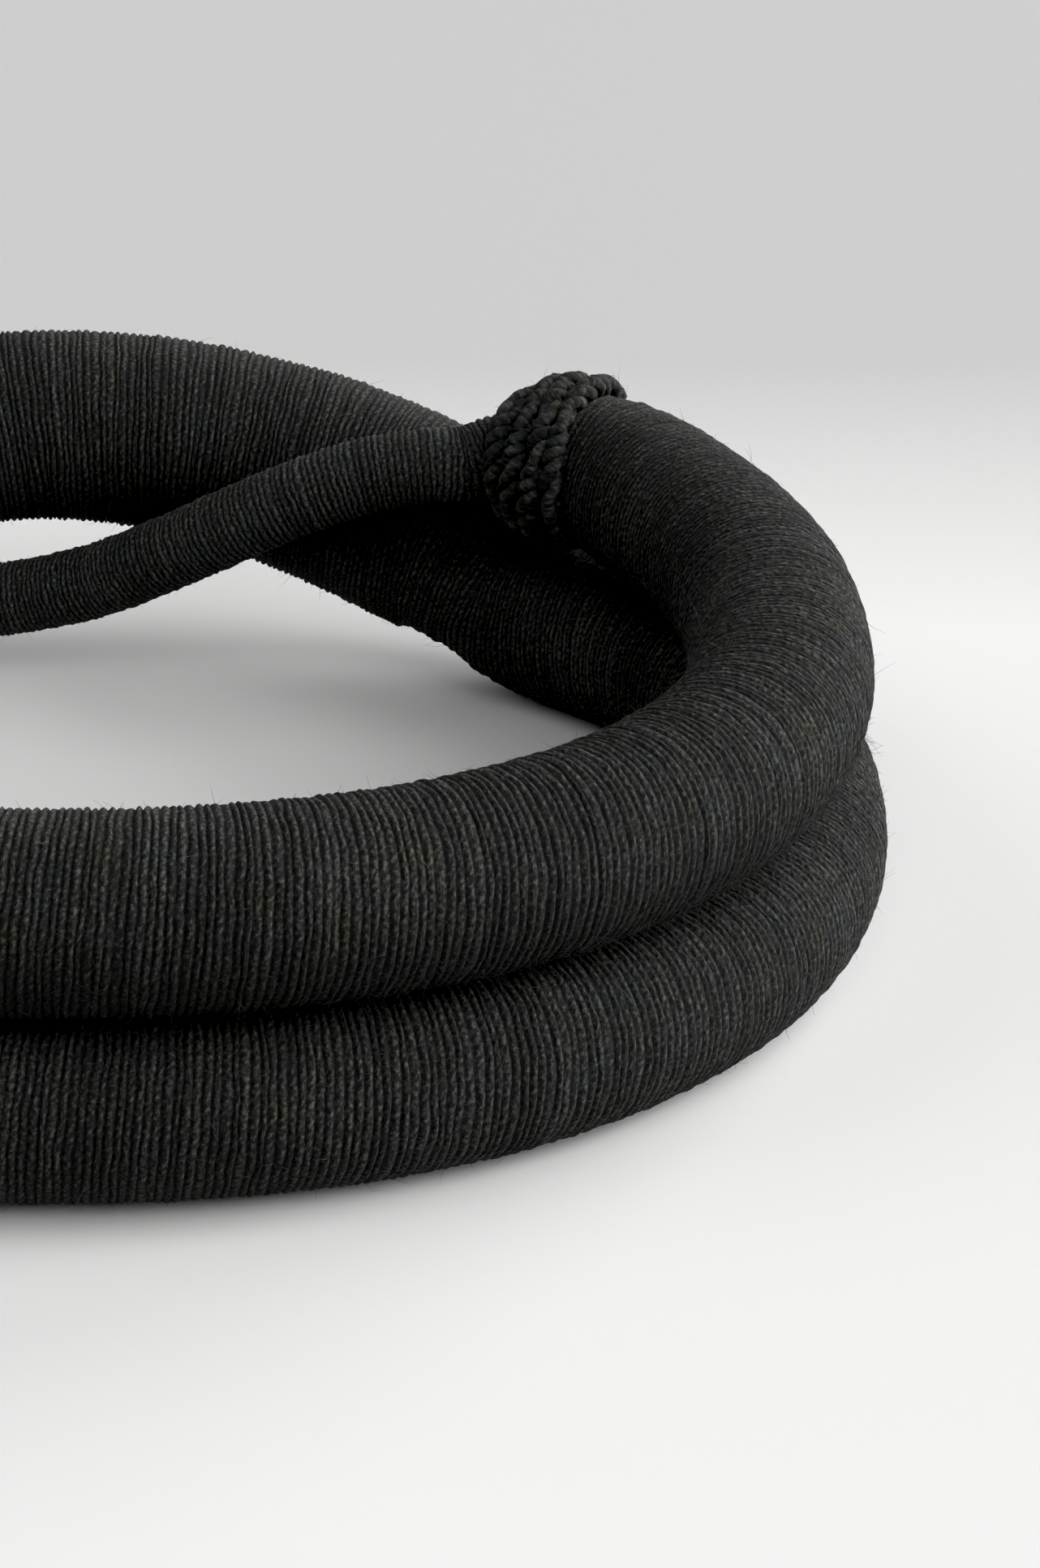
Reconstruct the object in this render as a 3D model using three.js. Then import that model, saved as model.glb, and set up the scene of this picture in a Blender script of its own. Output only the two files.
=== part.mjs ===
// A head cord: a thick padded cord, wound all over with fine yarn, laid in two turns one on the other.
// It climbs from the lower turn to the upper one at the back. Its two ends are joined there by a thin cord, and each end is tied round with coarse yarn.
// Millimetres, +Z up. The origin is on the resting surface under the middle of the whole cord.
import * as THREE from "three";

// Plan of the lower turn's centre line: a superellipse, a little squarer than an ellipse.
const PLAN_HALF_X = 105.8;
const PLAN_HALF_Y = 90.1;
const PLAN_POWER = 2.185;
// Middle of the plan in the part's frame.
const PLAN_CENTRE_X = 0.0;
const PLAN_CENTRE_Y = -1.47;

// Facets.
const CORD_SIDES = 16; // an even flat below and above, so that turns rest on flats
const CORD_STEP = 5.4; // degrees, at most
const TIE_SIDES = 10;
const TIE_STEPS = 36;
const WHIPPING_SIDES = 24;

// Thin cord that joins the ends.
const TIE_DIAMETER = 13.0;

// Coarse yarn tied round each end in a few turns, the last one drawn in towards the thin cord.
const WHIPPING_STRAND = 3.8; // thickness of one strand
const WHIPPING_PITCH = 3.7; // one turn to the next
const WHIPPING_PAST_END = 5.0; // how far it reaches past the thick cord's end
const END_DEG_PER_MM = 0.66; // along the thick cord near its ends
const TIE_STRAIGHT = 6.5; // how far the thin cord runs straight out of each end
const GAP = 0.4; // between pieces that touch
const END_ROOM = 1.1; // between the thick cord's end face and the thin cord's

// The thick cord from its upper end, clockwise seen from above.
// deg: place on the plan, 0 at +X and 90 at the back. out: shift outwards from the plan. low, high: underside and top. wide: size across.
const CORD = [
  { deg: 51.2, out: -4.0, low: 35.7, high: 56.1, wide: 20.0 }, // upper end, drawn in by its tie
  { deg: 47.5, out: -2.7, low: 34.8, high: 57.6, wide: 22.6 },
  { deg: 45.0, out: -2.0, low: 33.8, high: 57.8, wide: 23.8 },
  { deg: 42.5, out: -1.6, low: 32.2, high: 57.9, wide: 25.9 },
  { deg: 39.0, out: -1.5, low: 30.3, high: 57.3, wide: 27.4 },
  { deg: 30.0, out: -2.2, low: 28.6, high: 55.9, wide: 28.0 },
  { deg: 15.0, out: -2.8, low: 27.0, high: 54.4, wide: 28.0 },
  { deg: 0.0, out: -3.1, low: 26.4, high: 53.5, wide: 28.0 }, // right side, upper turn
  { deg: -45.0, out: -2.6, low: 26.4, high: 53.5, wide: 28.0 },
  { deg: -90.0, out: -2.0, low: 27.0, high: 54.2, wide: 28.0 }, // front, upper turn
  { deg: -135.0, out: -1.8, low: 27.2, high: 55.0, wide: 28.0 },
  { deg: -180.0, out: -1.5, low: 27.3, high: 55.6, wide: 28.0 }, // left side, upper turn
  { deg: -210.0, out: -1.0, low: 27.3, high: 56.4, wide: 28.4 },
  { deg: -240.0, out: -0.4, low: 27.3, high: 58.6, wide: 29.0 },
  { deg: -260.0, out: 0.2, low: 27.5, high: 60.4, wide: 29.9 },
  { deg: -265.0, out: 0.5, low: 26.6, high: 60.0, wide: 30.3 },
  { deg: -270.0, out: 1.0, low: 24.6, high: 58.9, wide: 30.7 }, // back, the climb
  { deg: -275.0, out: 1.8, low: 21.3, high: 57.1, wide: 30.9 },
  { deg: -280.0, out: 2.5, low: 17.2, high: 54.8, wide: 31.0 },
  { deg: -285.0, out: 3.0, low: 13.2, high: 52.4, wide: 30.9 },
  { deg: -290.0, out: 3.0, low: 9.3, high: 49.4, wide: 30.6 },
  { deg: -295.0, out: 2.7, low: 6.0, high: 46.2, wide: 30.3 },
  { deg: -300.0, out: 2.2, low: 3.0, high: 40.0, wide: 29.9 },
  { deg: -304.0, out: 1.6, low: 1.1, high: 34.2, wide: 29.6 },
  { deg: -308.0, out: 1.1, low: 0.2, high: 31.3, wide: 29.3 },
  { deg: -312.0, out: 0.7, low: 0.0, high: 30.0, wide: 29.0 },
  { deg: -320.0, out: 0.3, low: 0.0, high: 28.8, wide: 28.5 },
  { deg: -330.0, out: 0.0, low: 0.0, high: 27.8, wide: 28.2 },
  { deg: -345.0, out: 0.0, low: 0.0, high: 26.5, wide: 28.0 },
  { deg: -360.0, out: 0.0, low: 0.0, high: 26.0, wide: 28.0 }, // right side, lower turn
  { deg: -405.0, out: 0.0, low: 0.0, high: 26.0, wide: 28.0 },
  { deg: -450.0, out: 0.0, low: 0.0, high: 26.6, wide: 28.0 }, // front, lower turn
  { deg: -495.0, out: 0.0, low: 0.0, high: 26.8, wide: 28.0 },
  { deg: -540.0, out: 0.0, low: 0.0, high: 26.9, wide: 28.0 }, // left side, lower turn
  { deg: -570.0, out: 0.0, low: 0.0, high: 26.8, wide: 28.0 },
  { deg: -576.0, out: 0.0, low: 1.2, high: 26.0, wide: 24.8 },
  { deg: -579.0, out: 0.0, low: 2.8, high: 24.4, wide: 21.6 },
  { deg: -583.0, out: 0.0, low: 3.8, high: 23.4, wide: 19.6 }, // lower end
];

// The thin cord from the upper end to the lower one, round the inner side of the climb.
// deg, out: as above. mid: height of its middle.
const TIE = [
  { deg: 58.5, out: -9.2, mid: 44.1 },
  { deg: 62.0, out: -12.7, mid: 44.1 },
  { deg: 68.5, out: -17.0, mid: 42.5 },
  { deg: 75.0, out: -19.8, mid: 39.0 },
  { deg: 81.0, out: -20.5, mid: 34.5 },
  { deg: 89.0, out: -17.0, mid: 26.3 },
  { deg: 95.0, out: -11.9, mid: 19.4 },
  { deg: 103.0, out: -7.0, mid: 14.9 },
  { deg: 112.0, out: -3.2, mid: 13.5 },
  { deg: 124.0, out: -0.4, mid: 13.6 },
];

// Radii of the turns of each tie, from the thick cord's side.
const WHIPPINGS = [
  { name: "whipping_right", upper: true, turns: [15.3, 15.4, 14.9, 12.2] },
  { name: "whipping_left", upper: false, turns: [13.2, 12.9, 10.8] },
];

const rad = THREE.MathUtils.degToRad;
const signedPower = (v, p) => Math.sign(v) * Math.abs(v) ** p;

// A point of the plan and the direction straight outwards from it.
function planAt(deg) {
  const t = rad(deg);
  const x = PLAN_HALF_X * signedPower(Math.cos(t), 2 / PLAN_POWER);
  const y = PLAN_HALF_Y * signedPower(Math.sin(t), 2 / PLAN_POWER);
  const outward = new THREE.Vector3(
    signedPower(x / PLAN_HALF_X, PLAN_POWER - 1) / PLAN_HALF_X,
    signedPower(y / PLAN_HALF_Y, PLAN_POWER - 1) / PLAN_HALF_Y,
    0,
  ).normalize();
  return {
    point: new THREE.Vector3(PLAN_CENTRE_X + x, PLAN_CENTRE_Y + y, 0),
    outward,
  };
}

// A smooth curve through one column of a table that never passes beyond its rows.
function column(table, name) {
  const rows = [...table].sort((a, b) => a.deg - b.deg);
  const at = rows.map((row) => row.deg);
  const value = rows.map((row) => row[name]);
  const step = at.slice(1).map((v, i) => v - at[i]);
  const rise = step.map((s, i) => (value[i + 1] - value[i]) / s);
  const slope = at.map((_, i) => {
    if (i === 0) return rise[0];
    if (i === at.length - 1) return rise[i - 1];
    if (rise[i - 1] * rise[i] <= 0) return 0;
    const before = 2 * step[i] + step[i - 1];
    const after = step[i] + 2 * step[i - 1];
    return (before + after) / (before / rise[i - 1] + after / rise[i]);
  });
  return (deg) => {
    let i = 0;
    while (i < step.length - 1 && deg > at[i + 1]) i++;
    const u = THREE.MathUtils.clamp((deg - at[i]) / step[i], 0, 1);
    const u2 = u * u;
    const u3 = u2 * u;
    return (
      (2 * u3 - 3 * u2 + 1) * value[i] +
      (u3 - 2 * u2 + u) * step[i] * slope[i] +
      (3 * u2 - 2 * u3) * value[i + 1] +
      (u3 - u2) * step[i] * slope[i + 1]
    );
  };
}

// A closed skin through rings of points, with a flat face on each end.
function skin(rings) {
  const sides = rings[0].length;
  const positions = rings.flat().flatMap((p) => [p.x, p.y, p.z]);
  const index = [];
  for (let r = 0; r + 1 < rings.length; r++)
    for (let s = 0; s < sides; s++) {
      const a = r * sides + s;
      const b = r * sides + ((s + 1) % sides);
      index.push(a, b, b + sides, a, b + sides, a + sides);
    }
  const last = (rings.length - 1) * sides;
  for (let s = 1; s + 1 < sides; s++) {
    index.push(0, s + 1, s);
    index.push(last, last + s, last + s + 1);
  }
  const geometry = new THREE.BufferGeometry();
  geometry.setAttribute(
    "position",
    new THREE.Float32BufferAttribute(positions, 3),
  );
  geometry.setIndex(index);
  geometry.computeVertexNormals();
  return geometry;
}

const firstDeg = CORD[0].deg;
const lastDeg = CORD[CORD.length - 1].deg;

// The thick cord: upright sections, each a polygon drawn round an oval so that its lowest and highest sides are flat.
const cordOut = column(CORD, "out");
const cordLow = column(CORD, "low");
const cordHigh = column(CORD, "high");
const cordWide = column(CORD, "wide");

function cordCentre(deg) {
  const { point, outward } = planAt(deg);
  return point
    .addScaledVector(outward, cordOut(deg))
    .setZ((cordLow(deg) + cordHigh(deg)) / 2);
}

// Straight across the cord, level, to its outer side.
function cordAcross(deg) {
  const ahead = cordCentre(Math.max(deg - 1, lastDeg));
  const along = ahead.sub(cordCentre(Math.min(deg + 1, firstDeg)));
  return new THREE.Vector3(-along.y, along.x, 0).normalize();
}

function cordSection(deg) {
  const outward = cordAcross(deg);
  const centre = cordCentre(deg);
  const round = 1 / Math.cos(Math.PI / CORD_SIDES);
  const halfWide = (cordWide(deg) / 2) * round;
  const halfHigh = ((cordHigh(deg) - cordLow(deg)) / 2) * round;
  return Array.from({ length: CORD_SIDES }, (_, k) => {
    const turn = ((k + 0.5) / CORD_SIDES) * 2 * Math.PI;
    return centre
      .clone()
      .addScaledVector(outward, halfWide * Math.cos(turn))
      .add(new THREE.Vector3(0, 0, halfHigh * Math.sin(turn)));
  });
}

// A section at every row of the table, and between rows no further apart than a step.
const sectionDegs = CORD.slice(1).flatMap((row, i) => {
  const parts = Math.ceil((CORD[i].deg - row.deg) / CORD_STEP);
  return Array.from({ length: parts }, (_, k) =>
    THREE.MathUtils.lerp(CORD[i].deg, row.deg, (k + 1) / parts),
  );
});
const cordGeometry = skin([firstDeg, ...sectionDegs].map(cordSection));

// Each end of the thick cord: the middle of its end face, and the way out of it.
function cordEnd(upper) {
  const deg = upper ? firstDeg : lastDeg;
  const inside = upper ? deg - 5 : deg + 5;
  const centre = cordCentre(deg);
  return { centre, axis: centre.clone().sub(cordCentre(inside)).normalize() };
}
const upperEnd = cordEnd(true);
const lowerEnd = cordEnd(false);
const beyond = ({ centre, axis }, distance) =>
  centre.clone().addScaledVector(axis, distance);

// The thin cord: a round section along its route.
const tieRoute = new THREE.CatmullRomCurve3([
  beyond(upperEnd, END_ROOM),
  beyond(upperEnd, TIE_STRAIGHT),
  ...TIE.map((row) => {
    const { point, outward } = planAt(row.deg);
    return point.addScaledVector(outward, row.out).setZ(row.mid);
  }),
  beyond(lowerEnd, TIE_STRAIGHT),
  beyond(lowerEnd, END_ROOM),
]);
const tieSection = new THREE.Shape(
  Array.from({ length: TIE_SIDES }, (_, k) => {
    const turn = (k / TIE_SIDES) * 2 * Math.PI;
    return new THREE.Vector2(Math.cos(turn), Math.sin(turn)).multiplyScalar(
      TIE_DIAMETER / 2,
    );
  }),
);
const tieGeometry = new THREE.ExtrudeGeometry(tieSection, {
  steps: TIE_STEPS,
  extrudePath: tieRoute,
  curveSegments: 1,
});

// A tie of coarse yarn: round turns side by side, hollow where the two cords run through.
// Its axis points from the thick cord's end to the thin cord, and its zero is the thick cord's end face.
function whippingGeometry(turns, upper) {
  const strand = WHIPPING_STRAND / 2;
  const far = WHIPPING_PAST_END;
  const near = far - 2 * strand - (turns.length - 1) * WHIPPING_PITCH;
  const profile = turns.flatMap((radius, i) =>
    [150, 110, 70, 30].map(
      (a) =>
        new THREE.Vector2(
          radius - strand + strand * Math.sin(rad(a)),
          near + strand + i * WHIPPING_PITCH + strand * Math.cos(rad(a)),
        ),
    ),
  );
  // The bore clears the corners of the thin cord's section, then those of the thick cord's.
  const clear = 1 / Math.cos(Math.PI / WHIPPING_SIDES);
  const overTie = (TIE_DIAMETER / 2 + GAP) * clear;
  const overCord = (inside) => {
    const deg = upper
      ? firstDeg - inside * END_DEG_PER_MM
      : lastDeg + inside * END_DEG_PER_MM;
    const across = Math.max(cordWide(deg), cordHigh(deg) - cordLow(deg));
    const corner = across / 2 / Math.cos(Math.PI / CORD_SIDES);
    return (corner + 2 * GAP) * clear + 0.06 * inside;
  };
  const reach = -near - 0.2;
  profile.push(
    new THREE.Vector2(overTie, far - 0.3),
    new THREE.Vector2(overTie, END_ROOM),
    new THREE.Vector2(overCord(0), END_ROOM),
    new THREE.Vector2(overCord(reach / 2), -reach / 2),
    new THREE.Vector2(Math.min(overCord(reach), profile[0].x - GAP), -reach),
    profile[0].clone(),
  );
  return new THREE.LatheGeometry(profile, WHIPPING_SIDES);
}

const wool = (name, color) =>
  new THREE.MeshStandardMaterial({ name, color, roughness: 0.95, metalness: 0 });

function piece(name, geometry, material) {
  const mesh = new THREE.Mesh(geometry, material);
  mesh.name = name;
  return mesh;
}

const headCord = new THREE.Group();
headCord.name = "head_cord";
headCord.add(piece("wound_cord", cordGeometry, wool("wound yarn", 0x20211f)));
headCord.add(piece("tie_cord", tieGeometry, wool("tie yarn", 0x151515)));
for (const { name, upper, turns } of WHIPPINGS) {
  const { centre, axis } = upper ? upperEnd : lowerEnd;
  const tie = piece(name, whippingGeometry(turns, upper), wool("coarse yarn", 0x1c1c1c));
  tie.position.copy(centre);
  tie.quaternion.setFromUnitVectors(new THREE.Vector3(0, 1, 0), axis);
  headCord.add(tie);
}

export default headCord;
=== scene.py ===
import math

import bpy
import numpy as np
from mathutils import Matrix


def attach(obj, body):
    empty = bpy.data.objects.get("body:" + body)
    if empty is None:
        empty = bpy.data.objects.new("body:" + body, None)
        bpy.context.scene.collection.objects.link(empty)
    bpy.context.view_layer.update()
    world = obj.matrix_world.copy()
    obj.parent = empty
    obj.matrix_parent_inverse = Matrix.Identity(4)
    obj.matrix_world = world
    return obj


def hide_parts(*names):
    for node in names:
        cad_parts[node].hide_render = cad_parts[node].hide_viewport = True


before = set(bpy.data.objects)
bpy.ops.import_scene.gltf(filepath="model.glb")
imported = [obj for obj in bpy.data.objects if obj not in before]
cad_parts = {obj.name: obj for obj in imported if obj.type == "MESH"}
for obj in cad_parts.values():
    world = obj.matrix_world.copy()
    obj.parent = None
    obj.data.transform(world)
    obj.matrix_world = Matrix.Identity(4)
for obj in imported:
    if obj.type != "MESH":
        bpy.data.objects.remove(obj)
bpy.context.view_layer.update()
MM = 0.001
SEED = 20
rng = np.random.default_rng(SEED)

# ---------------------------------------------------------------- sizes
PLAN_HALF_X, PLAN_HALF_Y, PLAN_POWER = 105.8, 90.1, 2.185
PLAN_CENTRE = np.array([0.0, -1.47])

YARN_PITCH = 1.15
YARN_TILT = -1.55  # one turn of the winding yarn to the next
RINGS_PER_TURN = 4
AROUND = 76
RIB_DEPTH = 0.42
TIE_DIAMETER = 13.0
TIE_PITCH = 1.05
TIE_AROUND = 36
TIE_STRAIGHT = 6.5
END_ROOM = 1.1
STRAND_PITCH = 3.7  # coarse yarn, one turn to the next
LAST_TURN = 3.1  # its last turn, past the thick cord's end
PLY_RADIUS = 1.06

# The thick cord: place on the plan, shift outwards, underside, top, width.
CORD_COLUMNS = ("deg", "out", "low", "high", "wide")
CORD = [
    (51.2, -4.0, 35.7, 56.1, 20.0),
    (47.5, -2.7, 34.8, 57.6, 22.6),
    (45.0, -2.0, 33.8, 57.8, 23.8),
    (42.5, -1.6, 32.2, 57.9, 25.9),
    (39.0, -1.5, 30.3, 57.3, 27.4),
    (30.0, -2.2, 28.6, 55.9, 28.0),
    (15.0, -2.8, 27.0, 54.4, 28.0),
    (0.0, -3.1, 26.4, 53.5, 28.0),
    (-45.0, -2.6, 26.4, 53.5, 28.0),
    (-90.0, -2.0, 27.0, 54.2, 28.0),
    (-135.0, -1.8, 27.2, 55.0, 28.0),
    (-180.0, -1.5, 27.3, 55.6, 28.0),
    (-210.0, -1.0, 27.3, 56.4, 28.4),
    (-240.0, -0.4, 27.3, 58.6, 29.0),
    (-260.0, 0.2, 27.5, 60.4, 29.9),
    (-265.0, 0.5, 26.6, 60.0, 30.3),
    (-270.0, 1.0, 24.6, 58.9, 30.7),
    (-275.0, 1.8, 21.3, 57.1, 30.9),
    (-280.0, 2.5, 17.2, 54.8, 31.0),
    (-285.0, 3.0, 13.2, 52.4, 30.9),
    (-290.0, 3.0, 9.3, 49.4, 30.6),
    (-295.0, 2.7, 6.0, 46.2, 30.3),
    (-300.0, 2.2, 3.0, 40.0, 29.9),
    (-304.0, 1.6, 1.1, 34.2, 29.6),
    (-308.0, 1.1, 0.2, 31.3, 29.3),
    (-312.0, 0.7, 0.0, 30.0, 29.0),
    (-320.0, 0.3, 0.0, 28.8, 28.5),
    (-330.0, 0.0, 0.0, 27.8, 28.2),
    (-345.0, 0.0, 0.0, 26.5, 28.0),
    (-360.0, 0.0, 0.0, 26.0, 28.0),
    (-405.0, 0.0, 0.0, 26.0, 28.0),
    (-450.0, 0.0, 0.0, 26.6, 28.0),
    (-495.0, 0.0, 0.0, 26.8, 28.0),
    (-540.0, 0.0, 0.0, 26.9, 28.0),
    (-570.0, 0.0, 0.0, 26.8, 28.0),
    (-576.0, 0.0, 1.2, 26.0, 24.8),
    (-579.0, 0.0, 2.8, 24.4, 21.6),
    (-583.0, 0.0, 3.8, 23.4, 19.6),
]
# The thin cord: place on the plan, shift outwards, height of its middle.
TIE = [
    (58.5, -9.2, 44.1),
    (62.0, -12.7, 44.1),
    (68.5, -17.0, 42.5),
    (75.0, -19.8, 39.0),
    (81.0, -20.5, 34.5),
    (89.0, -17.0, 26.3),
    (95.0, -11.9, 19.4),
    (103.0, -7.0, 14.9),
    (112.0, -3.2, 13.5),
    (124.0, -0.4, 13.6),
]
# Outer radii of the turns of each tie, from the thick cord's side.
WHIPPINGS = {
    "whipping_right": (True, (15.3, 15.4, 14.9, 12.2)),
    "whipping_left": (False, (13.2, 12.9, 10.8)),
}

# ---------------------------------------------------------------- stage
FLOOR_NEAR, FLOOR_FAR = (0.452, 0.451, 0.449), (0.305, 0.300, 0.300)
AMBIENT = 0.0
BLACK_POINT = 0.005
# Soft lights: name, azimuth, elevation, strength.
LIGHTS = [
    ("back_right", 45.0, 20.0, 1.06),
    ("right", 0.0, 20.0, 1.45),
    ("right_high", 0.0, 50.0, 0.45),
    ("front_right", 315.0, 42.0, 0.48),
    ("front", 270.0, 42.0, 0.38),
    ("left", 180.0, 45.0, 0.28),
    ("back_left", 135.0, 25.0, 0.12),
]

# ---------------------------------------------------------------- camera
FOCAL_PX, IMAGE_LONG = 4600.0, 1932.0
PITCH_DOWN = 25.4
cam_data = bpy.data.cameras.new("camera")
cam_data.sensor_width = 36.0
cam_data.lens = FOCAL_PX / IMAGE_LONG * 36.0
cam_data.clip_start = 0.01
cam = bpy.data.objects.new("camera", cam_data)
bpy.context.collection.objects.link(cam)
cam.location = (0.0633, -0.5232, 0.2652)
cam.rotation_euler = (math.radians(90.0 - PITCH_DOWN), 0.0, 0.0)
bpy.context.scene.camera = cam


# ---------------------------------------------------------------- curves
def signed_power(v, p):
    return np.sign(v) * np.abs(v) ** p


def plan_at(deg):
    t = np.radians(deg)
    x = PLAN_HALF_X * signed_power(np.cos(t), 2 / PLAN_POWER)
    y = PLAN_HALF_Y * signed_power(np.sin(t), 2 / PLAN_POWER)
    n = np.stack(
        [
            signed_power(x / PLAN_HALF_X, PLAN_POWER - 1) / PLAN_HALF_X,
            signed_power(y / PLAN_HALF_Y, PLAN_POWER - 1) / PLAN_HALF_Y,
        ],
        -1,
    )
    n /= np.linalg.norm(n, axis=-1, keepdims=True)
    return np.stack([x, y], -1) + PLAN_CENTRE, n


def column(k):
    """A smooth curve through one column of CORD that never passes beyond its rows."""
    rows = np.array(sorted(CORD))
    at, value = rows[:, 0], rows[:, k]
    step = np.diff(at)
    rise = np.diff(value) / step
    slope = np.concatenate([rise[:1], np.zeros(len(at) - 2), rise[-1:]])
    for i in range(1, len(at) - 1):
        if rise[i - 1] * rise[i] > 0:
            before, after = 2 * step[i] + step[i - 1], step[i] + 2 * step[i - 1]
            slope[i] = (before + after) / (before / rise[i - 1] + after / rise[i])

    def curve(deg):
        i = np.clip(np.searchsorted(at, deg) - 1, 0, len(step) - 1)
        u = np.clip((deg - at[i]) / step[i], 0, 1)
        return (
            (2 * u**3 - 3 * u**2 + 1) * value[i]
            + (u**3 - 2 * u**2 + u) * step[i] * slope[i]
            + (3 * u**2 - 2 * u**3) * value[i + 1]
            + (u**3 - u**2) * step[i] * slope[i + 1]
        )

    return curve


cord_out, cord_low, cord_high, cord_wide = (column(k) for k in range(1, 5))
FIRST, LAST = CORD[0][0], CORD[-1][0]


def cord_centre(deg):
    point, n = plan_at(deg)
    xy = point + n * cord_out(deg)[..., None]
    z = (cord_low(deg) + cord_high(deg)) / 2
    return np.concatenate([xy, z[..., None]], -1)


def unit(v):
    return v / np.linalg.norm(v, axis=-1, keepdims=True)


def smooth_noise(terms, s_scale, most_around, seed):
    """A smooth random field over length and angle, about -1 to 1."""
    r = np.random.default_rng(seed)
    ks = r.normal(0, 2 * math.pi / s_scale, terms)
    ma = r.integers(-most_around, most_around + 1, terms)
    ph = r.uniform(0, 2 * math.pi, terms)

    def field(s, a):
        total = np.zeros(np.broadcast(s, a).shape)
        for k, m, p in zip(ks, ma, ph):
            total += np.sin(k * s + m * a + p)
        return total / math.sqrt(terms / 2)

    return field


# ---------------------------------------------------------------- mesh helpers
def mesh_piece(name, verts, quads, uv=None, tris=None):
    """An object from arrays, smooth, with an optional uv layer given per corner of each quad and then of each triangle."""
    me = bpy.data.meshes.new(name)
    tris = np.zeros((0, 3), int) if tris is None else tris
    nq, nt = len(quads), len(tris)
    loops = np.concatenate([quads.ravel(), tris.ravel()]).astype(np.int32)
    me.vertices.add(len(verts))
    me.vertices.foreach_set("co", (verts * MM).astype(np.float32).ravel())
    me.loops.add(len(loops))
    me.loops.foreach_set("vertex_index", loops)
    me.polygons.add(nq + nt)
    starts = np.concatenate([np.arange(nq) * 4, nq * 4 + np.arange(nt) * 3])
    me.polygons.foreach_set("loop_start", starts.astype(np.int32))
    me.polygons.foreach_set("use_smooth", np.ones(nq + nt, bool))
    me.update(calc_edges=True)
    if uv is not None:
        layer = me.uv_layers.new(name="yarn")
        layer.data.foreach_set("uv", uv.astype(np.float32).ravel())
    me.validate()
    ob = bpy.data.objects.new(name, me)
    bpy.context.collection.objects.link(ob)
    return ob


def tube_faces(rings, sides):
    """Quads of a tube, and the two end fans' triangles round one added middle vertex each."""
    r, s = np.meshgrid(np.arange(rings - 1), np.arange(sides), indexing="ij")
    a, b = r * sides + s, r * sides + (s + 1) % sides
    quads = np.stack([a, b, b + sides, a + sides], -1).reshape(-1, 4)
    k = np.arange(sides)
    low, high = rings * sides, rings * sides + 1
    last = (rings - 1) * sides
    fan0 = np.stack([np.full(sides, low), (k + 1) % sides, k], -1)
    fan1 = np.stack([np.full(sides, high), last + k, last + (k + 1) % sides], -1)
    return quads, np.concatenate([fan0, fan1])


def wound_tube(name, centre, across, upward, half_wide, half_high, s, pitch, sides, depth, seed, power=2.1, floor=None, tilt=None):
    """A tube of ribs, one for each turn of yarn. s is the length along it at each ring, tilt how far a turn's top lies ahead."""
    turn = s / pitch
    phi = (np.arange(sides) + 0.5) / sides * 2 * math.pi
    c, d = np.cos(phi), np.sin(phi)
    cx, cz = signed_power(c, 2 / power), signed_power(d, 2 / power)
    # The strands wander a little, and no two are quite as thick.
    r = np.random.default_rng(seed)
    index = np.floor(turn + 1e-6).astype(int)
    per_turn = r.normal(0, 1, 1200)
    shift = np.clip(r.normal(0, 0.10, 1200), -0.2, 0.2) * pitch
    wander = smooth_noise(30, 4.6, 13, seed + 1)
    swell = smooth_noise(30, 2.0, 22, seed + 2)
    S, A = s[:, None], phi[None, :]
    frac = np.clip(turn - index, 0, 1)
    rib = np.sin(math.pi * frac)[:, None] ** 0.9
    nw, nh = cx / half_wide[:, None], cz / half_high[:, None]
    nl = np.hypot(nw, nh)
    nw, nh = nw / nl, nh / nl
    rise = depth * (rib - 1) + rib * (0.05 * per_turn[index][:, None] + 0.075 * swell(S, A)) - 0.06
    rise = np.minimum(rise, 0.10)
    along = unit(np.cross(across, upward))
    slide = 0.085 * pitch * wander(S, A) + np.interp(turn, np.arange(1200), shift)[:, None]
    if tilt is None:
        slide[0] = slide[-1] = 0
    else:
        slide = slide * (tilt / YARN_TILT)[:, None] + tilt[:, None] * d
    P = (
        centre[:, None]
        + across[:, None] * (half_wide[:, None] * cx + nw * rise)[..., None]
        + upward[:, None] * (half_high[:, None] * cz + nh * rise)[..., None]
        + along[:, None] * slide[..., None]
    )
    if floor is not None:
        P[..., 2] = np.maximum(P[..., 2], floor)
    rings = len(s)
    quads, fans = tube_faces(rings, sides)
    verts = np.concatenate([P.reshape(-1, 3), [P[0].mean(0), P[-1].mean(0)]])
    # u runs along the strand in millimetres, v counts turns.
    girth = 2 * math.pi * float(np.sqrt(np.mean(half_wide * half_high)))
    i, j = np.meshgrid(np.arange(rings - 1), np.arange(sides), indexing="ij")
    u0, u1 = j / sides * girth, (j + 1) / sides * girth
    v0, v1 = turn[i], turn[i + 1]
    uv = np.stack([np.stack([u0, v0], -1), np.stack([u1, v0], -1), np.stack([u1, v1], -1), np.stack([u0, v1], -1)], 2)
    uv_fan = np.zeros((len(fans) * 3, 2))
    ob = mesh_piece(name, verts, quads, np.concatenate([uv.reshape(-1, 2), uv_fan]), fans)
    return ob, P


def frames_along(points):
    along = unit(np.gradient(points, axis=0))
    across = unit(np.stack([-along[:, 1], along[:, 0], np.zeros(len(along))], -1))
    return along, across


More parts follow.
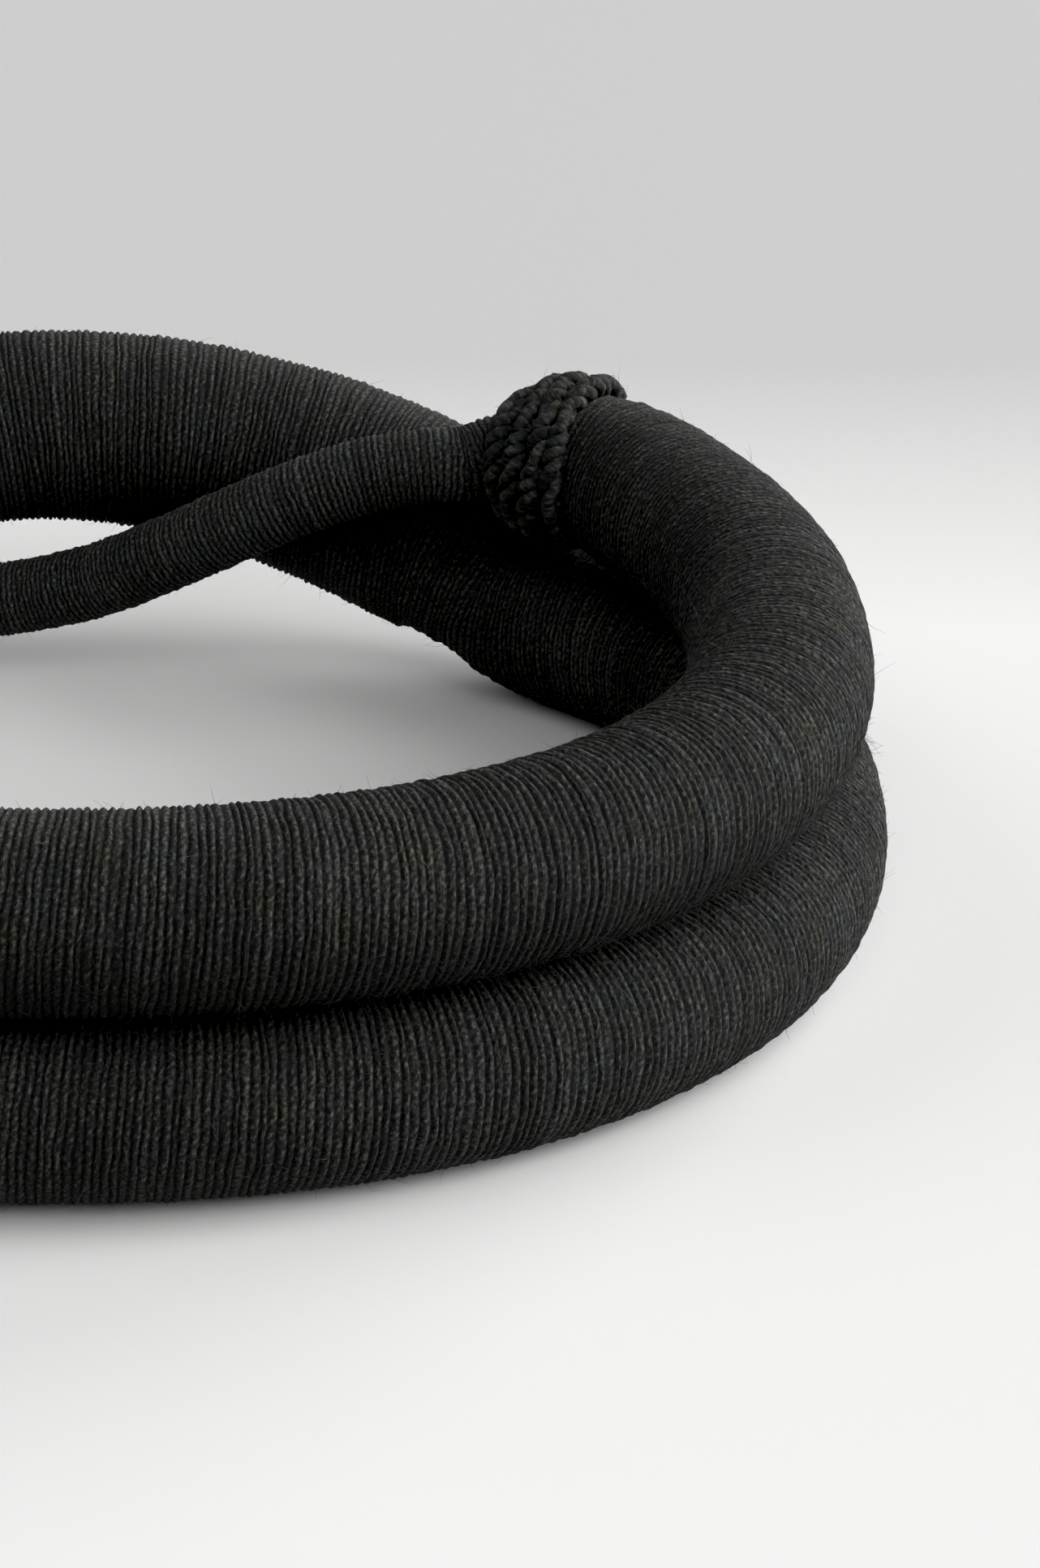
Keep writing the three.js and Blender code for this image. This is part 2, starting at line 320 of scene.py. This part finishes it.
# ---------------------------------------------------------------- thick cord
fine = np.linspace(FIRST, LAST, 6001)
fine_c = cord_centre(fine)
fine_s = np.concatenate([[0], np.cumsum(np.linalg.norm(np.diff(fine_c, axis=0), axis=1))])
cord_length = fine_s[-1]
turns = int(cord_length / YARN_PITCH)
ring_s = np.arange(turns * RINGS_PER_TURN + 1) * (cord_length / (turns * RINGS_PER_TURN))
pitch = cord_length / turns
ring_deg = np.interp(ring_s, fine_s, fine)
centre = cord_centre(ring_deg)
along, across = frames_along(centre)
upward = unit(np.cross(along, -across))
upward *= np.sign(upward[:, 2:3])
lean = upward[:, 2]
half_high = (cord_high(ring_deg) - cord_low(ring_deg)) / 2 * lean
half_wide = cord_wide(ring_deg) / 2

# The long cord is cut in pieces at turns of yarn on the far side and under the upper turn.
SEAMS = (-112.0, -250.0, -335.0, -470.0)
cord_surface = []
wound_pieces = []
seam_turns = [round(float(np.interp(-d, -fine, fine_s)) / pitch) for d in SEAMS]
marks = [k * RINGS_PER_TURN for k in (0, *seam_turns, turns)]
ends_fade = np.clip(np.minimum(ring_s, cord_length - ring_s) / 14.0, 0, 1)
for k in range(len(marks) - 1):
    sel = slice(marks[k], marks[k + 1] + 1)
    ob, P = wound_tube(
        f"wound_cord_{k + 1}",
        centre[sel],
        across[sel],
        upward[sel],
        half_wide[sel],
        half_high[sel],
        ring_s[sel],
        pitch,
        AROUND,
        RIB_DEPTH,
        SEED + 10,
        floor=0.0,
        tilt=YARN_TILT * ends_fade[sel],
    )
    wound_pieces.append(ob)
    cord_surface.append((P, centre[sel], along[sel]))

# ---------------------------------------------------------------- thin cord
def cord_end(upper):
    deg = np.array([FIRST, FIRST - 5.0]) if upper else np.array([LAST, LAST + 5.0])
    c = cord_centre(deg)
    return c[0], unit(c[0] - c[1])


def catmull(points, per):
    """A centripetal Catmull-Rom curve through the points."""
    p = np.concatenate([[2 * points[0] - points[1]], points, [2 * points[-1] - points[-2]]])
    out = []
    for i in range(1, len(p) - 2):
        q = p[i - 1 : i + 3]
        t = np.concatenate([[0], np.cumsum(np.maximum(np.linalg.norm(np.diff(q, axis=0), axis=1), 1e-6) ** 0.5)])
        x = np.linspace(t[1], t[2], per, endpoint=False)[:, None]
        a1 = (t[1] - x) / (t[1] - t[0]) * q[0] + (x - t[0]) / (t[1] - t[0]) * q[1]
        a2 = (t[2] - x) / (t[2] - t[1]) * q[1] + (x - t[1]) / (t[2] - t[1]) * q[2]
        a3 = (t[3] - x) / (t[3] - t[2]) * q[2] + (x - t[2]) / (t[3] - t[2]) * q[3]
        b1 = (t[2] - x) / (t[2] - t[0]) * a1 + (x - t[0]) / (t[2] - t[0]) * a2
        b2 = (t[3] - x) / (t[3] - t[1]) * a2 + (x - t[1]) / (t[3] - t[1]) * a3
        out.append((t[2] - x) / (t[2] - t[1]) * b1 + (x - t[1]) / (t[2] - t[1]) * b2)
    return np.concatenate(out + [points[-1:]])


up_c, up_a = cord_end(True)
low_c, low_a = cord_end(False)
rows = np.array(TIE)
tp, tn = plan_at(rows[:, 0])
mid = np.concatenate([tp + tn * rows[:, 1:2], rows[:, 2:3]], 1)
route = np.concatenate(
    [[up_c + up_a * END_ROOM, up_c + up_a * TIE_STRAIGHT], mid, [low_c + low_a * TIE_STRAIGHT, low_c + low_a * END_ROOM]]
)
route = catmull(route, 40)
route_s = np.concatenate([[0], np.cumsum(np.linalg.norm(np.diff(route, axis=0), axis=1))])
tie_length = route_s[-1]
tie_turns = int(tie_length / TIE_PITCH)
tie_s = np.linspace(0, tie_length, tie_turns * RINGS_PER_TURN + 1)
tie_c = np.stack([np.interp(tie_s, route_s, route[:, k]) for k in range(3)], 1)
tie_along, tie_across = frames_along(tie_c)
tie_up = unit(np.cross(tie_along, -tie_across))
tie_up *= np.sign(tie_up[:, 2:3])
half = np.full(len(tie_s), TIE_DIAMETER / 2)
tie_piece, tie_P = wound_tube(
    "tie_cord_wound", tie_c, tie_across, tie_up, half, half, tie_s, tie_length / tie_turns, TIE_AROUND, 0.36, SEED + 40, power=2.0
)


# ---------------------------------------------------------------- coarse yarn round the ends
def ply_tube(path, radius, sides, seed):
    """A round ply along a path, a little uneven."""
    along = unit(np.gradient(path, axis=0))
    side = unit(np.cross(along, np.array([0.31, 0.17, 0.93])))
    top = np.cross(side, along)
    r = np.random.default_rng(seed)
    uneven = 1 + 0.10 * np.interp(np.arange(len(path)), np.arange(0, len(path) + 6, 6), r.normal(0, 1, len(np.arange(0, len(path) + 6, 6))))
    taper = np.clip(np.minimum(np.arange(len(path)), np.arange(len(path))[::-1]) / 5, 0.25, 1)
    phi = np.arange(sides) / sides * 2 * math.pi
    rad = (radius * uneven * taper)[:, None, None]
    return path[:, None] + rad * (np.cos(phi)[None, :, None] * side[:, None] + np.sin(phi)[None, :, None] * top[:, None])


def joined_tubes(name, tubes):
    verts, quads, tris, uvs, uvt = [], [], [], [], []
    base = 0
    for n, P in enumerate(tubes):
        rings, sides = P.shape[:2]
        q, t = tube_faces(rings, sides)
        verts.append(np.concatenate([P.reshape(-1, 3), [P[0].mean(0), P[-1].mean(0)]]))
        quads.append(q + base)
        tris.append(t + base)
        i, j = np.meshgrid(np.arange(rings - 1), np.arange(sides), indexing="ij")
        step = np.linalg.norm(np.diff(P.mean(1), axis=0), axis=1)
        s = np.concatenate([[0], np.cumsum(step)])
        u0, u1, v0, v1 = s[i], s[i + 1], n + j / sides, n + (j + 1) / sides
        uvs.append(np.stack([np.stack([u0, v0], -1), np.stack([u0, v1], -1), np.stack([u1, v1], -1), np.stack([u1, v0], -1)], 2).reshape(-1, 2))
        uvt.append(np.zeros((len(t) * 3, 2)))
        base += len(verts[-1])
    return mesh_piece(name, np.concatenate(verts), np.concatenate(quads), np.concatenate(uvs + uvt), np.concatenate(tris))


def whipping(name, upper, outer, seed):
    """A strand of two plies wound round an end. No two turns lie quite alike, and both its ends are tucked in."""
    c, a = (up_c, up_a) if upper else (low_c, low_a)
    e1 = unit(np.cross(a, np.array([0.0, 0.0, 1.0])))
    e2 = np.cross(e1, a)
    count = len(outer)
    strand = 2 * PLY_RADIUS
    tau = np.linspace(-0.12, count - 0.05, 140 * count)
    x = LAST_TURN + STRAND_PITCH * (tau - (count - 0.65))
    at = np.concatenate([[-1.0], np.arange(count), [count]])
    mid_r = np.interp(tau, at, [outer[0], *outer, outer[-1] - 0.4]) - strand
    dip = np.clip(1 - (tau - tau[0]) / 0.12, 0, 1) + np.clip(1 - (tau[-1] - tau) / 0.12, 0, 1)
    mid_r = mid_r - 2.6 * dip**1.5
    mid_r = mid_r + 0.34 * smooth_noise(8, 0.55, 0, seed)(tau, 0 * tau)
    x = x + 0.42 * smooth_noise(8, 0.5, 0, seed + 1)(tau, 0 * tau)
    ang = 2 * math.pi * tau + (0.6 if upper else 2.0)
    radial = np.cos(ang)[:, None] * e1 + np.sin(ang)[:, None] * e2
    path = c + a * x[:, None] + radial * mid_r[:, None]
    length = np.concatenate([[0], np.cumsum(np.linalg.norm(np.diff(path, axis=0), axis=1))])
    twist = 2 * math.pi * length / 7.6 + 0.9 * smooth_noise(10, 14.0, 0, seed + 2)(length, 0 * length)
    tubes = []
    for ply in range(2):
        tw = twist + math.pi * ply
        off = PLY_RADIUS * 0.92 * (np.cos(tw)[:, None] * radial + np.sin(tw)[:, None] * a)
        tubes.append(ply_tube(path + off, PLY_RADIUS, 12, seed + 5 + ply))
    return joined_tubes(name, tubes), tubes


whip_pieces, whip_tubes = {}, {}
for n, (node, (upper, outer)) in enumerate(WHIPPINGS.items()):
    whip_pieces[node], whip_tubes[node] = whipping(node + "_yarn", upper, outer, SEED + 60 + 10 * n)


# ---------------------------------------------------------------- stray fibres
def fibres(name, roots, outward, along, count, length, thick, seed, lift=0.55, steps=3):
    """Short curved hairs standing off a surface, joined in one mesh: three-sided, closed at both ends."""
    r = np.random.default_rng(seed)
    pick = r.integers(0, len(roots), count)
    p, n, t = roots[pick], outward[pick], along[pick]
    b = np.cross(n, t)
    turn = r.uniform(0, 2 * math.pi, count)[:, None]
    lie = np.cos(turn) * t * 0.6 + np.sin(turn) * b
    start = unit(n * r.uniform(0.15, lift, count)[:, None] + lie)
    curl = unit(r.normal(0, 1, (count, 3)))
    ln = (length * r.lognormal(-0.2, 0.5, count))[:, None]
    w = np.linspace(0, 1, steps)
    line = p[:, None] - 0.12 * n[:, None] + start[:, None] * (w[None, :, None] * ln[:, None]) + curl[:, None] * (
        (w**2)[None, :, None] * ln[:, None] * 0.45
    )
    line[..., 2] = np.maximum(line[..., 2], 0.06)
    d = unit(line[:, -1] - line[:, 0])
    e1 = unit(np.cross(d, np.array([0.2, 0.5, 0.84])))
    e2 = np.cross(d, e1)
    phi = np.arange(3) / 3 * 2 * math.pi
    taper = thick * np.interp(w, [0, 0.35, 0.7, 1], [1.0, 0.9, 0.7, 0.35])
    ring = np.cos(phi)[None, :, None] * e1[:, None] + np.sin(phi)[None, :, None] * e2[:, None]
    P = line[:, :, None] + taper[None, :, None, None] * ring[:, None]
    verts = P.reshape(-1, 3)
    quad, tri = [], []
    for s in range(steps - 1):
        for k in range(3):
            a0, b0 = s * 3 + k, s * 3 + (k + 1) % 3
            quad.append([a0, b0, b0 + 3, a0 + 3])
    last = (steps - 1) * 3
    tri = np.array([[0, 2, 1], [last, last + 1, last + 2]])
    base = (np.arange(count) * steps * 3)[:, None, None]
    quads = (np.array(quad)[None] + base).reshape(-1, 4)
    tris = (tri[None] + base).reshape(-1, 3)
    return mesh_piece(name, verts, quads, None, tris)


roots, outs, alongs = [], [], []
for P, c, a in cord_surface:
    crest = P[2::RINGS_PER_TURN]
    mid_c = c[2::RINGS_PER_TURN]
    o = unit(crest - mid_c[:, None])
    roots.append(crest.reshape(-1, 3))
    outs.append(o.reshape(-1, 3))
    alongs.append(np.repeat(a[2::RINGS_PER_TURN], crest.shape[1], 0))
roots, outs, alongs = (np.concatenate(x) for x in (roots, outs, alongs))
fibre_piece = fibres("stray_fibres", roots, outs, alongs, 7000, 1.5, 0.026, SEED + 90, lift=0.75)
# The nap is longest in the outer groove between the turns.
radial = (outs[:, :2] * roots[:, :2]).sum(1) / np.linalg.norm(roots[:, :2], axis=1)
under = (outs[:, 2] < -0.28) & (roots[:, 2] > 24.0)
over = (outs[:, 2] > 0.45) & (roots[:, 2] < 30.0)
groove = (radial > 0.12) & (under | over)
nap_piece = fibres("nap_fibres", roots[groove], outs[groove], alongs[groove], 12000, 1.5, 0.031, SEED + 92, lift=0.9)
crest = tie_P[2::RINGS_PER_TURN]
tie_fibre_piece = fibres(
    "tie_fibres",
    crest.reshape(-1, 3),
    unit(crest - tie_c[2::RINGS_PER_TURN][:, None]).reshape(-1, 3),
    np.repeat(tie_along[2::RINGS_PER_TURN], crest.shape[1], 0),
    700,
    1.3,
    0.022,
    SEED + 91,
)
whip_fibre_pieces = {}
for n, (node, tubes) in enumerate(whip_tubes.items()):
    pts = np.concatenate([t.reshape(-1, 3) for t in tubes])
    mids = np.concatenate([np.repeat(t.mean(1), t.shape[1], 0) for t in tubes])
    way = np.concatenate([np.repeat(unit(np.gradient(t.mean(1), axis=0)), t.shape[1], 0) for t in tubes])
    whip_fibre_pieces[node] = fibres(node + "_fibres", pts, unit(pts - mids), way, 900, 1.7, 0.026, SEED + 95 + n, lift=0.9)


# ---------------------------------------------------------------- materials
class Nodes:
    """A short way to lay out a material's nodes."""

    def __init__(self, name):
        self.mat = bpy.data.materials.new(name)
        self.mat.use_nodes = True
        self.tree = self.mat.node_tree
        self.shader = next(n for n in self.tree.nodes if n.type == "BSDF_PRINCIPLED")

    def put(self, socket, value):
        if isinstance(value, bpy.types.NodeSocket):
            self.tree.links.new(value, socket)
        else:
            socket.default_value = value

    def math(self, op, a, b=None, clamp=False):
        n = self.tree.nodes.new("ShaderNodeMath")
        n.operation, n.use_clamp = op, clamp
        self.put(n.inputs[0], a)
        if b is not None:
            self.put(n.inputs[1], b)
        return n.outputs[0]

    def vector(self, x, y, z):
        n = self.tree.nodes.new("ShaderNodeCombineXYZ")
        for k, v in enumerate((x, y, z)):
            self.put(n.inputs[k], v)
        return n.outputs[0]

    def noise(self, vector, scale, detail=2.0, rough=0.5):
        n = self.tree.nodes.new("ShaderNodeTexNoise")
        self.put(n.inputs["Vector"], vector)
        n.inputs["Scale"].default_value = scale
        n.inputs["Detail"].default_value = detail
        n.inputs["Roughness"].default_value = rough
        return n.outputs["Fac"]

    def white(self, w):
        n = self.tree.nodes.new("ShaderNodeTexWhiteNoise")
        n.noise_dimensions = "1D"
        self.put(n.inputs["W"], w)
        return n.outputs["Value"]

    def ramp(self, fac, stops):
        n = self.tree.nodes.new("ShaderNodeValToRGB")
        self.put(n.inputs["Fac"], fac)
        el = n.color_ramp.elements
        while len(el) < len(stops):
            el.new(0.5)
        for e, (at, col) in zip(el, stops):
            e.position, e.color = at, (*col, 1.0)
        return n.outputs["Color"]

    def mix(self, fac, a, b, blend="MIX"):
        n = self.tree.nodes.new("ShaderNodeMix")
        n.data_type, n.blend_type = "RGBA", blend
        self.put(n.inputs[0], fac)
        self.put(n.inputs[6], a)
        self.put(n.inputs[7], b)
        return n.outputs[2]

    def bump(self, height, distance, strength=1.0):
        n = self.tree.nodes.new("ShaderNodeBump")
        n.inputs["Strength"].default_value = strength
        n.inputs["Distance"].default_value = distance
        self.put(n.inputs["Height"], height)
        return n.outputs["Normal"]

    def uv(self):
        n = self.tree.nodes.new("ShaderNodeUVMap")
        n.uv_map = "yarn"
        s = self.tree.nodes.new("ShaderNodeSeparateXYZ")
        self.tree.links.new(n.outputs[0], s.inputs[0])
        return s.outputs[0], s.outputs[1]

    def place(self):
        n = self.tree.nodes.new("ShaderNodeTexCoord")
        return n.outputs["Object"]


def wool(name, dark, mid, light, sheen, sheen_tint, across_ply=1.1, ply_length=1.9, bump_mm=0.22, paint_gap_shade=True, groove=False):
    """Spun yarn: plies twisted along each strand, fibres along the plies, painted shade in the gaps between strands,
    and a soft nap.
    """
    m = Nodes(name)
    u, v = m.uv()
    index = m.math("FLOOR", v)
    frac = m.math("FRACT", v)
    own = m.white(index)
    # Plies slant across the strand, and no two follow each other at quite the same distance.
    irregular = m.noise(m.vector(m.math("MULTIPLY", u, 0.5), m.math("MULTIPLY", index, 3.7), 0.0), 1.0, 2.0)
    slant = m.math("ADD", m.math("DIVIDE", u, ply_length), m.math("MULTIPLY", frac, across_ply))
    slant = m.math("ADD", slant, m.math("MULTIPLY", own, 7.0))
    slant = m.math("ADD", slant, m.math("MULTIPLY", irregular, 2.2))
    ply = m.math("ADD", m.math("MULTIPLY", m.math("SINE", m.math("MULTIPLY", slant, 2 * math.pi)), 0.5), 0.5)
    # Fibres, long along the ply.
    along_fibre = m.math("ADD", m.math("MULTIPLY", u, 1.3), m.math("MULTIPLY", frac, 1.2))
    fibre = m.noise(m.vector(along_fibre, m.math("MULTIPLY", v, 9.0), m.math("MULTIPLY", own, 11.0)), 1.0, 3.0, 0.62)
    fleck = m.noise(m.vector(m.math("MULTIPLY", u, 1.5), m.math("MULTIPLY", v, 2.3), 3.0), 1.0, 2.0, 0.55)
    patch = m.noise(m.place(), 70.0, 3.0, 0.55)
    # Lightness: plies, flecks and fibres, with little between one strand and the next.
    tone = m.math("ADD", 0.5, m.math("MULTIPLY", m.math("SUBTRACT", own, 0.5), 0.10))
    for part, share in ((fleck, 1.3), (ply, 0.14), (fibre, 0.7), (patch, 0.3)):
        tone = m.math("ADD", tone, m.math("MULTIPLY", m.math("SUBTRACT", part, 0.5), share))
    colour = m.ramp(tone, [(0.22, dark), (0.52, mid), (0.86, light)])
    # Cool and olive casts in the black.
    cast = m.noise(m.place(), 160.0, 2.0, 0.5)
    tint = m.ramp(cast, [(0.36, (0.92, 1.0, 1.05)), (0.50, (1.0, 1.0, 1.0)), (0.64, (1.05, 1.02, 0.86))])
    colour = m.mix(1.0, colour, tint, "MULTIPLY")
    if paint_gap_shade:
        # Painted shade: the colour darkens in the gaps between strands, which waver, as little light comes back out of
        # them.
        waver = m.math("MULTIPLY", m.math("SUBTRACT", m.noise(m.vector(m.math("MULTIPLY", u, 1.4), m.math("MULTIPLY", index, 2.1), 7.0), 1.0, 1.0), 0.5), 0.18)
        off = m.math("ABSOLUTE", m.math("SUBTRACT", m.math("ADD", frac, waver), 0.5))
        gap_shade = m.ramp(m.math("MULTIPLY", off, 2.0), [(0.34, (1.0, 1.0, 1.0)), (0.62, (0.52, 0.52, 0.52)), (0.88, (0.24, 0.24, 0.24))])
        colour = m.mix(1.0, colour, gap_shade, "MULTIPLY")
    if groove:
        # Painted shade: the wound yarn's colour is darkened in a band of heights between the upper and lower turns,
        # about 24 to 44 mm up and darkest near 31 mm, where shade falls.
        level = m.tree.nodes.new("ShaderNodeSeparateXYZ")
        m.tree.links.new(m.place(), level.inputs[0])
        groove_shade_levels = [(0.40, 1.0), (0.45, 0.62), (0.51, 0.38), (0.60, 0.52), (0.73, 1.0)]
        groove_shade = m.ramp(m.math("DIVIDE", level.outputs[2], 60.0 * MM), [(at, (k, k, k)) for at, k in groove_shade_levels])
        colour = m.mix(1.0, colour, groove_shade, "MULTIPLY")
    m.put(m.shader.inputs["Base Color"], colour)
    height = m.math("ADD", m.math("MULTIPLY", ply, 0.40), m.math("ADD", m.math("MULTIPLY", fibre, 0.9), m.math("MULTIPLY", fleck, 1.1)))
    m.put(m.shader.inputs["Normal"], m.bump(height, bump_mm * MM))
    m.shader.inputs["Roughness"].default_value = 0.88
    m.shader.inputs["Specular IOR Level"].default_value = 0.15
    m.shader.inputs["Sheen Weight"].default_value = sheen
    m.shader.inputs["Sheen Roughness"].default_value = 0.42
    m.shader.inputs["Sheen Tint"].default_value = (*sheen_tint, 1.0)
    return m.mat


def fibre_wool(name, colour, light):
    m = Nodes(name)
    m.put(m.shader.inputs["Base Color"], m.ramp(m.noise(m.place(), 420.0, 1.0), [(0.35, colour), (0.7, light)]))
    m.shader.inputs["Roughness"].default_value = 0.7
    m.shader.inputs["Specular IOR Level"].default_value = 0.35
    return m.mat


wound_mat = wool("wound_yarn_wool", (0.003, 0.003, 0.003), (0.0118, 0.0121, 0.0113), (0.056, 0.056, 0.050), 0.02, (0.62, 0.63, 0.60), groove=True)
tie_mat = wool("tie_yarn_wool", (0.005, 0.005, 0.005), (0.0185, 0.0185, 0.0183), (0.072, 0.072, 0.068), 0.02, (0.60, 0.60, 0.60))
coarse_mat = wool(
    "coarse_yarn_wool", (0.004, 0.004, 0.004), (0.0135, 0.0135, 0.0130), (0.050, 0.050, 0.046), 0.02, (0.62, 0.62, 0.60), 2.0, 3.2, 0.3, False
)
# The nap in the groove gets a darker colour than the stray fibres of the same wool: painted shade for the groove
# between the turns.
groove_shaded_nap_mat = fibre_wool("nap_wool_painted_shade", (0.0015, 0.0015, 0.0015), (0.011, 0.011, 0.0105))
fibre_mat = fibre_wool("stray_fibre_wool", (0.008, 0.008, 0.0075), (0.060, 0.060, 0.055))

for ob in wound_pieces:
    ob.data.materials.append(wound_mat)
    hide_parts("wound_cord")
    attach(ob, "root")
tie_piece.data.materials.append(tie_mat)
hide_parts("tie_cord")
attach(tie_piece, "root")
for node, ob in whip_pieces.items():
    ob.data.materials.append(coarse_mat)
    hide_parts(node)
    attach(ob, "root")
for ob, slot in [(fibre_piece, "wound_yarn"), (nap_piece, "wound_yarn"), (tie_fibre_piece, "tie_yarn")] + [
    (o, "coarse_yarn") for o in whip_fibre_pieces.values()
]:
    ob.data.materials.append(groove_shaded_nap_mat if ob is nap_piece else fibre_mat)
    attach(ob, "root")

# ---------------------------------------------------------------- floor and light
floor = mesh_piece(
    "floor",
    np.array([[-6000.0, -6000.0, 0.0], [6000.0, -6000.0, 0.0], [6000.0, 6000.0, 0.0], [-6000.0, 6000.0, 0.0]]),
    np.array([[0, 1, 2, 3]]),
)
fm = Nodes("pale_floor")
split = fm.tree.nodes.new("ShaderNodeSeparateXYZ")
fm.tree.links.new(fm.place(), split.inputs[0])
# A little greyer far behind the cord.
back = fm.math("MULTIPLY", fm.math("SUBTRACT", split.outputs[1], 0.10), 6.5, clamp=True)
grain = fm.math("MULTIPLY", fm.noise(fm.place(), 9.0, 3.0), 0.06)
fm.put(
    fm.shader.inputs["Base Color"],
    fm.ramp(fm.math("ADD", back, grain), [(0.0, FLOOR_NEAR), (1.0, FLOOR_FAR)]),
)
fm.shader.inputs["Roughness"].default_value = 0.8
fm.shader.inputs["Specular IOR Level"].default_value = 0.1
floor.data.materials.append(fm.mat)

# A plain backdrop far off on every side, which neither lights nor shades the cord.
ring_at = np.linspace(0, 2 * math.pi, 64, endpoint=False)
wall = np.stack([5600 * np.cos(ring_at), 5600 * np.sin(ring_at), np.full(64, -1.0)], -1)
k = np.arange(64)
backdrop = mesh_piece(
    "backdrop",
    np.concatenate([wall, wall + [0.0, 0.0, 4000.0]]),
    np.stack([k, k + 64, (k + 1) % 64 + 64, (k + 1) % 64], -1),
)
bm = Nodes("pale_backdrop")
bm.shader.inputs["Base Color"].default_value = (0.0, 0.0, 0.0, 1.0)
bm.shader.inputs["Specular IOR Level"].default_value = 0.0
bm.shader.inputs["Emission Color"].default_value = (0.64, 0.635, 0.635, 1.0)
bm.shader.inputs["Emission Strength"].default_value = 1.0
backdrop.data.materials.append(bm.mat)
backdrop.visible_shadow = backdrop.visible_diffuse = backdrop.visible_glossy = False

world = bpy.data.worlds.new("studio")
world.use_nodes = True
bg = world.node_tree.nodes["Background"]
bg.inputs["Color"].default_value = (1.0, 1.0, 1.0, 1.0)
bg.inputs["Strength"].default_value = AMBIENT
bpy.context.scene.world = world


def soft_light(name, azimuth, elevation, strength, spread=38.0):
    """A wide soft light from far off. Azimuth 0 is +X and 90 is the back."""
    data = bpy.data.lights.new(name, "SUN")
    data.energy, data.angle = math.pi * strength, math.radians(spread)
    ob = bpy.data.objects.new(name, data)
    bpy.context.collection.objects.link(ob)
    a, e = math.radians(azimuth), math.radians(elevation)
    d = -np.array([math.cos(e) * math.cos(a), math.cos(e) * math.sin(a), math.sin(e)])
    ob.location = tuple(-1.5 * d)
    ob.rotation_euler = (math.acos(-d[2]), 0.0, math.atan2(-d[0], d[1]))
    return ob


for light in LIGHTS:
    soft_light(*light)
view = bpy.context.scene.view_settings
view.view_transform, view.look = "Standard", "None"
view.use_curve_mapping = True
view.curve_mapping.black_level = (BLACK_POINT,) * 3
view.curve_mapping.update()
